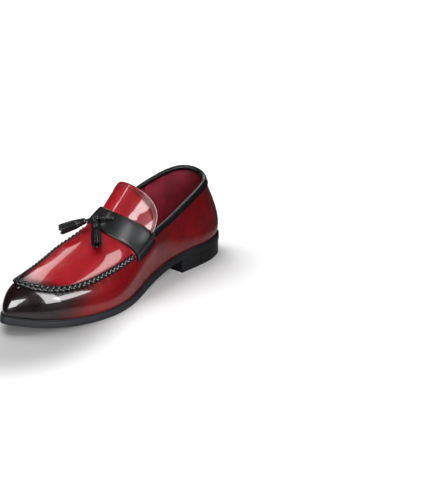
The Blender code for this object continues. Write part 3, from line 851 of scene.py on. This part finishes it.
def strapHeight(path, share, height):
    # height is 0 at the underside and 1 at the top face
    end = np.minimum(path - (1 - strap["drop"]), 2 + strap["drop"] - path) * wallRise
    fold = 1 / (1 + np.exp((end - strap["foldLength"]) / strap["foldSharp"]))
    fromGroove = end - strap["foldLength"] - strap["groove"]
    groove = np.exp(-((fromGroove / strap["grooveWide"]) ** 2))
    top = strap["thick"] * (1 + strap["crown"] * (1 - (2 * share - 1) ** 2))
    top = top + strap["foldRise"] * fold - strap["groove"] * groove
    return strap["lift"] + top * height


# height of the wall under the strap, which turns a length down it into a share
wallRise = float(np.linalg.norm(wallPoint(0.52, 0.8) - wallPoint(0.52, 1.0))) / 0.2


def makeStrap():
    shape = bmesh.new()
    first, last = 1 - strap["drop"], 2 + strap["drop"]

    def place(u, v):
        turn = 2 * np.pi * u
        path = first + (last - first) * v
        end = np.minimum(v, 1 - v) * (last - first) * wallRise
        inset = 1 - np.clip(end / strap["endRound"], 0, 1)
        rounded = np.sqrt(np.clip(1 - inset**2, 0, 1))
        across = np.sign(np.cos(turn)) * np.abs(np.cos(turn)) ** 0.30
        high = np.sign(np.sin(turn)) * np.abs(np.sin(turn)) ** 0.45
        share = 0.5 + 0.5 * across
        height = 0.5 + 0.5 * high * rounded
        spot, _ = onSkin(path, strapWay(path, share), strapHeight(path, share, height))
        return spot

    addGrid(shape, strap["around"], strap["along"], place)
    finishPiece("saddleStrap", shape, strapLeather, "saddle_strap")
    shape = bmesh.new()
    for base, inward in ((first, 1), (last, -1)):
        path = base + inward * (strap["foldLength"] - strap["stitchIn"]) / wallRise
        for share in np.linspace(*strap["stitchSpan"], strap["stitches"]):
            step = np.linspace(-1, 1, 7)
            across = share + step * strap["stitchHalf"]
            lift = strapHeight(path, across, 1.0) + 0.0003 - 0.0006 * np.abs(step) ** 3
            line, normal = onSkin(path, strapWay(path, across), lift)
            addTube(shape, line, normal, strap["thread"], strap["thread"], 8)
    finishPiece("strapStitches", shape, blackThread)


makeStrap()
print("strap laid")


# Collar binding, a folded band with a rolled top and a bead by its lower edge
binding = {
    "start": -0.002, "width": 0.0065, "inside": 0.0040, "thick": 0.0010, "corner": 0.0005,
    "bead": 0.00042,
    "lowBead": (0.0010, 0.00042),  # a bead's place from the lower edge and its spread
    "topBead": (0.0008, 0.0006),  # and the same from the top
    "roll": 0.0011, "steps": 260,
}


def makeBinding():
    start = shoe["notch"] + binding["start"]
    width, thick, corner = binding["width"], binding["thick"], binding["corner"]
    outer, inner = shoe["gap"], -shoe["wall"] - shoe["gap"]
    down = np.linspace(width, 0.0, 22)
    out = outer + thick * np.sqrt(np.clip((width - down) / corner, 0, 1))
    lowAt, lowSpread = binding["lowBead"]
    topAt, topSpread = binding["topBead"]
    out = out + binding["bead"] * np.exp(-(((down - (width - lowAt)) / lowSpread) ** 2))
    out = out + binding["bead"] * np.exp(-(((down - topAt) / topSpread) ** 2))
    section = list(zip(down, out))
    radius = (out[-1] - (inner - thick)) / 2
    for angle in np.linspace(0, np.pi, 10)[1:-1]:
        section.append((-binding["roll"] * np.sin(angle), out[-1] - radius * (1 - np.cos(angle))))
    down = np.linspace(0.0, binding["inside"], 9)
    out = inner - thick * np.sqrt(np.clip((binding["inside"] - down) / corner, 0, 1))
    section += list(zip(down, out))
    section += [(-shoe["gap"], inner), (-shoe["gap"], outer), (width, outer)]
    section = np.array(section)

    def place(u, v):
        down, out = section[np.rint(u * (len(section) - 1)).astype(int)].T
        atEnd = (v < 1e-6) | (v > 1 - 1e-6)
        down, out = np.where(atEnd, 0.001, down), np.where(atEnd, 0.0, out)
        way = wrapped(start + (2 - 2 * start) * v)
        normal = normalOf(wallPoint, way, np.full_like(v, 0.985))
        away = np.concatenate([outwards(way), np.zeros((len(way), 1))], -1)
        normal *= np.sign((normal * away).sum(-1, keepdims=True))
        rise = np.linalg.norm(rim(way) - wallPoint(way, np.full_like(v, 0.9)), axis=-1)
        foot = wallPoint(way, 1 - 0.1 * np.maximum(down, 0) / rise)
        foot[:, 2] += np.maximum(-down, 0)
        return placed(foot + normal * out[:, None])

    shape = bmesh.new()
    addGrid(shape, len(section) - 1, binding["steps"], place)
    finishPiece("collarBinding", shape, bindingLeather, "collar_binding")


makeBinding()
print("collar bound")


# Sole, heel and footbed
sole = {
    "rows": 220, "columns": 14, "edge": 0.0002, "bevel": 0.0007,
    "sharp": 0.9,  # an edge this sharp is bevelled, in radians
    "bead": (0.0008, 0.0007),  # half sizes of the dark bead that stands in as painted shadow in the groove
    "shadowOut": 0.0006, "shadowUp": 0.0004, "heelColumns": 12, "heelRows": 60,
    "heelHub": (0, 0.11, 0), "heelTaper": 0.985, "bedColumns": 22, "bedRows": 160,
    "bedCup": 0.0012, "pad": 0.0025,
}


def stationWays(share):
    front = 2 * share
    behind = shoe["notch"] + (1 - shoe["notch"]) * (front - 1)
    return np.where(share < 0.5, shoe["notch"] * front, behind)


def between(outerWay, innerWay, u, inset):
    outer, inner = outline(outerWay, inset), outline(innerWay, inset)
    return outer + (inner - outer) * u[:, None]


def acrossSole(u, v, inset):
    return between(stationWays(v), -stationWays(v), u, inset)


def makeOutsole():
    shape = bmesh.new()

    def place(u, v):
        plan = acrossSole(u, v, sole["edge"])
        return placed(np.column_stack([plan, soleTop(plan[:, 0])]))

    addGrid(shape, sole["columns"], sole["rows"], place)
    piece = finishPiece("outsoleBody", shape, soleEdge, "outsole", outwardFrom=(0, 0, -9))
    thicken(piece, "thickness", shoe["soleThickness"])
    easeEdges(piece)


def makeGrooveShadow():
    # a dark bead laid in the groove between upper and sole as painted shadow
    ways = np.linspace(-1, 1, 361)
    plan = outline(ways, shoe["welt"] - sole["shadowOut"])
    path = placed(np.column_stack([plan, soleTop(plan[:, 0]) + sole["shadowUp"]]))
    up = np.tile((0.0, 0.0, 1.0), (len(path), 1))
    shape = bmesh.new()
    addTube(shape, path, up, *sole["bead"], 8, closed=True)
    finishPiece("grooveShadow", shape, shadedRubber)


def wayAt(along, side):
    ways = np.linspace(0.4, 1.0, 601)
    return side * float(np.interp(-along, -outline(side * ways)[:, 0], ways))


def makeHeel():
    outer, inner = wayAt(shoe["breast"], 1), wayAt(shoe["breast"], -1)

    def top(u, v):
        outerWay, innerWay = outer + (1 - outer) * v, inner + (-1 - inner) * v
        flat = between(outerWay, innerWay, u, sole["bevel"])
        return placed(np.column_stack([flat, soleUnderside(flat[:, 0]) - 0.0001]))

    shape = bmesh.new()
    addGrid(shape, sole["heelColumns"], sole["heelRows"], top)
    bmesh.ops.remove_doubles(shape, verts=shape.verts, dist=1e-6)
    bmesh.ops.recalc_face_normals(shape, faces=shape.faces)
    raised = bmesh.ops.extrude_face_region(shape, geom=list(shape.faces))["geom"]
    lower = [item for item in raised if isinstance(item, bmesh.types.BMVert)]
    hub = Vector(sole["heelHub"])
    for vert in lower:
        drawn = (vert.co - hub) * sole["heelTaper"] + hub
        vert.co = (drawn.x, drawn.y, 0.0)
    piece = finishPiece("heelBlock", shape, shadedRubber, "heel")
    easeEdges(piece)


def makeFootbed():
    shape = bmesh.new()

    def place(u, v):
        plan = acrossSole(u, v, shoe["welt"] + shoe["wall"] + 3 * shoe["gap"])
        rise = sole["pad"] + sole["bedCup"] * (2 * u - 1) ** 4
        return placed(np.column_stack([plan, soleTop(plan[:, 0]) + shoe["gap"] + rise]))

    noSeams = {"wayMap": lambda u, v: (u * 0, v * 0)}
    addGrid(shape, sole["bedColumns"], sole["bedRows"], place, noSeams)
    piece = finishPiece("footbed", shape, wineLining, "insole", outwardFrom=(0, 0, -9))
    thicken(piece, "thickness", sole["pad"])


makeOutsole()
makeGrooveShadow()
makeHeel()
makeFootbed()
print("sole, heel and footbed made")


# Tassels, knot and laces. A place over the strap is its path, its way and how many radii it is up
tassel = {
    "lengths": {"outer": 0.033, "inner": 0.030}, "radius": 0.0056,
    "strips": ((11, 0.0), (6, 0.34)),  # how many in each layer, and how far in it hangs
    # shares of the length and of the radius, down the cap and down the skirt of strips
    "cap": ((0, 0.3), (0.03, 0.5), (0.08, 0.6), (0.16, 0.64), (0.24, 0.68), (0.3, 0.62),
            (0.33, 0.5)),
    "skirt": ((0.26, 0.62), (0.34, 0.76), (0.45, 0.86), (0.7, 0.92), (1, 0.95)),
    "stripHigh": 0.00042,
    "bands": (0.235, 0.285),  # where the lace is wound round the cap's foot
    "bandOut": 0.66, "bandRadius": 0.0007,
    "outer": ((1.537, 0.884, 0.75), (1.373, 0.740, 0.60)),
    "inner": ((1.650, 0.855, 0.80), (1.840, 0.685, 1.70)), "knot": (1.560, 0.906, 1.0),
    "knotRadius": 0.0033, "knotCord": (0.00125, 0.00110), "cordRadius": 0.0014,
    "toSlit": ((1.395, 0.953, 0.9), (1.43, 0.942, 1.2), (1.48, 0.928, 1.4), (1.525, 0.914, 2.2)),
    "twists": 2.2, "laceOut": 0.00078, "lace": (0.00095, 0.00080),
    "innerLace": (0.0014, 0.0012), "strapThick": 0.0024,
}


def overStrap(place, radius):
    path, way, lift = place
    height = tassel["strapThick"] + 3 * shoe["gap"] + lift * radius
    return onSkin(path, way * shoe["notch"], height)


def tasselAxis(which):
    top, foot = (overStrap(place, tassel["radius"])[0] for place in tassel[which])
    run = unit(foot - top)
    side = unit(np.cross(run, (0.0, 0.0, 1.0)))
    return top, run, side, np.cross(side, run)


def spoke(turn, side, front):
    return np.cos(turn)[:, None] * side + np.sin(turn)[:, None] * front


def makeTassel(name, which, node, seed):
    top, run, side, front = tasselAxis(which)
    dice = np.random.default_rng(seed)
    length, radius = tassel["lengths"][which], tassel["radius"]
    shape = bmesh.new()
    shares = np.linspace(0, tassel["cap"][-1][0], 14)
    capRadius = np.interp(shares, *np.array(tassel["cap"]).T) * radius
    facing = np.tile(front, (14, 1))
    addTube(shape, top + run * (shares * length)[:, None], facing, capRadius, capRadius, 24)
    band = tassel["bandRadius"]
    for share in tassel["bands"]:
        turn = np.linspace(0, 2 * np.pi, 33)
        out = spoke(turn, side, front)
        ring = top + run * (share * length) + out * radius * tassel["bandOut"]
        addTube(shape, ring, out, band, band * 0.8, 8, closed=True)
    skirtShare, skirtRadius = np.array(tassel["skirt"]).T
    for layer, (count, inset) in enumerate(tassel["strips"]):
        for strip in range(count):
            angle = 2 * np.pi * (strip + 0.5 * layer) / count + dice.uniform(-0.08, 0.08)
            end = 1.0 + dice.uniform(-0.035, 0.0)
            share = np.linspace(skirtShare[0], end, 13)
            lean = dice.uniform(-0.12, 0.12)
            turn = angle + lean * (share - skirtShare[0])
            out = spoke(turn, side, front)
            away = np.interp(share, skirtShare, skirtRadius) * radius * (1 - inset)
            away = away - tassel["stripHigh"] * (0.4 + 0.8 * (strip % 2))
            path = top + run * (share * length)[:, None] + out * away[:, None]
            wide = np.pi * away / count * 1.02
            addTube(shape, path, out, wide, tassel["stripHigh"], 8)
    finishPiece(name, shape, tasselLeather, node)


def makeKnot():
    centre, _ = overStrap(tassel["knot"], tassel["knotRadius"])
    above, _ = overStrap((*tassel["knot"][:2], 2.0), tassel["knotRadius"])
    up = unit(above - centre)
    side = unit(np.cross(up, (0.3, -1.0, 0.0)))
    front = np.cross(side, up)
    turn = np.linspace(0, 2 * np.pi, 145)
    size = tassel["knotRadius"] * 0.30
    x = (np.sin(turn) + 2 * np.sin(2 * turn)) * size
    y = (np.cos(turn) - 2 * np.cos(2 * turn)) * size
    z = -np.sin(3 * turn) * size * 1.15
    path = centre + x[:, None] * side + y[:, None] * front + z[:, None] * up
    shape = bmesh.new()
    addTube(shape, path, np.tile(up, (145, 1)), *tassel["knotCord"], 10, closed=True)
    finishPiece("tasselKnot", shape, tasselLeather, "tassel_knot")


def makeLaces():
    spots, normals = zip(*(overStrap(place, tassel["cordRadius"]) for place in tassel["toSlit"]))
    share = np.linspace(0, 1, len(spots))
    fine = np.linspace(0, 1, 49)
    line = spline(np.column_stack([share, spots]), fine)
    up = unit(spline(np.column_stack([share, normals]), fine))
    run = unit(np.gradient(line, axis=0))
    side = unit(np.cross(run, up))
    up = np.cross(side, run)
    shape = bmesh.new()
    for phase in (0, np.pi):  # two laces twisted together
        turn = 2 * np.pi * fine * tassel["twists"] + phase
        off = spoke(turn, side, up) * tassel["laceOut"]
        addTube(shape, line + off, up, *tassel["lace"], 10)
    finishPiece("laceToSlit", shape, tasselLeather, "cord_to_slit")
    knot, _ = overStrap(tassel["knot"], tassel["knotRadius"])
    top, run, _, front = tasselAxis("inner")
    away = unit(top - knot)
    start = knot + away * tassel["knotRadius"] * 0.8
    lead = top - run * tassel["cordRadius"] * 1.5
    points = [start, (start + lead) / 2, lead, top + run * 0.0006]
    line = spline(np.column_stack([np.linspace(0, 1, 4), points]), np.linspace(0, 1, 25))
    shape = bmesh.new()
    addTube(shape, line, np.tile(front, (25, 1)), *tassel["innerLace"], 12)
    finishPiece("laceToTassel", shape, tasselLeather, "cord_to_tassel")


makeTassel("tasselOuter", "outer", "tassel_outer", 3)
makeTassel("tasselInner", "inner", "tassel_inner", 8)
makeKnot()
makeLaces()
print("tassels tied")


# Floor and light
studio = {
    "floorSize": 12.0,
    "paper": 0.78,  # how pale the floor is in the picture
    "paperNear": 0.50,  # a painted pool of light that it throws back on the leather, near
    "paperFar": 0.03,  # and far
    "nearToFar": (0.260, 0.155),  # where that painted pool ends and is full
    "slim": 2.3,  # how much narrower than long it is
    "nearToe": 0.03,  # its middle's shift to the toe
    "shade": 0.58,  # the soft shade under the toe, its middle, slimness and reach
    "shadeAt": (-0.026, 0.135, 0), "shadeSlim": 1.3, "shadeReach": (0.125, 0.04),
    "fade": (0.15, 1.1),  # where the floor begins to fade to white
    "sky": (0.035, 0.035, 0.038, 1.0), "aim": (0, 0, 0.03),
}
# lamps: azimuth, elevation, distance, width, height, roll, radiance, and whether they light the
# colours softly or are only mirrored in the gloss
boxes = {
    "keyLight": (-86, 63, 1.5, 1.30, 1.30, 0, 6.0, "soft"),
    "fillLight": (75, 34, 1.5, 1.45, 1.20, 0, 2.7, "soft"),
    "sideBox": (68, 35, 1.5, 0.52, 1.70, 4, 10.0, "mirrored"),
    "rearBox": (92, 27, 1.5, 0.96, 0.46, 30, 10.0, "mirrored"),
    "toeBox": (9, 22, 1.5, 0.88, 0.62, 0, 12.0, "mirrored"),
    "backBox": (-127, 30, 1.7, 0.52, 0.80, 0, 2.5, "mirrored"),
    "topBox": (160, 61, 1.5, 0.50, 0.46, 0, 5.0, "mirrored"),
    "glintBox": (-65, 60, 1.5, 0.16, 0.16, 0, 6.0, "mirrored"),
}


def makeFloor():
    shape = bmesh.new()
    bmesh.ops.create_grid(shape, x_segments=2, y_segments=2, size=studio["floorSize"] / 2)
    floor = newMesh("studioFloor", shape)
    paper = Finish("whitePaper", Roughness=0.8, Specular_IOR_Level=0.1, Emission_Strength=1.0)
    where, *_ = paper.place()

    def farFrom(shift, slim):
        shifting = {"Vector": where, "Location": shift, "Scale": (slim, 1, 1)}
        shifted = paper.node("Mapping", inputs=shifting)
        return paper.node("VectorMath", {"operation": "LENGTH"}, {0: shifted}, output="Value")

    away = farFrom((0, studio["nearToe"], 0), studio["slim"])
    under = farFrom(studio["shadeAt"], studio["shadeSlim"])
    shade = paper.step(under, *studio["shadeReach"]) * studio["shade"]
    seen = paper.node("LightPath", output="Is Camera Ray")
    # painted pool of light round the shoe, seen only in reflections
    thrown = paper.step(away, *studio["nearToFar"]) * studio["paperNear"] + studio["paperFar"]
    tone = seen * (1 - shade) * studio["paper"] + (1 - seen) * thrown
    glow = seen * (paper.step(away, *studio["fade"]) * 0.9 + 0.10)
    paper.wire(Base_Color=tone, Emission_Color=glow)
    floor.data.materials.append(paper.material)

def makeLights():
    aim = Vector(studio["aim"])
    for name, (azimuth, elevation, away, width, height, roll, glow, kind) in boxes.items():
        spot = aim + directionOf(azimuth, elevation) * away
        lamp = bpy.data.lights.new(name, "AREA")
        lamp.shape = "RECTANGLE"
        lamp.size, lamp.size_y = width, height
        lamp.energy = glow * math.pi * width * height
        holder = newObject(name, lamp)
        turn = (aim - spot).to_track_quat("-Z", "Y").to_matrix().to_4x4()
        turn = turn @ Matrix.Rotation(math.radians(roll), 4, "Z")
        holder.matrix_world = Matrix.Translation(spot) @ turn
        holder.visible_diffuse, holder.visible_glossy = kind == "soft", kind == "mirrored"
    world = bpy.data.worlds.new("studio")
    bpy.context.scene.world = world
    world.use_nodes = True
    nodes, links = world.node_tree.nodes, world.node_tree.links
    nodes["Background"].inputs["Color"].default_value = studio["sky"]
    white = nodes.new("ShaderNodeBackground")
    white.inputs["Color"].default_value = (1, 1, 1, 1)
    path, blend = nodes.new("ShaderNodeLightPath"), nodes.new("ShaderNodeMixShader")
    links.new(path.outputs["Is Camera Ray"], blend.inputs[0])
    links.new(nodes["Background"].outputs[0], blend.inputs[1])
    links.new(white.outputs[0], blend.inputs[2])
    links.new(blend.outputs[0], nodes["World Output"].inputs["Surface"])
    bpy.context.scene.view_settings.view_transform = "Standard"


makeFloor()
makeLights()
print("studio lit")
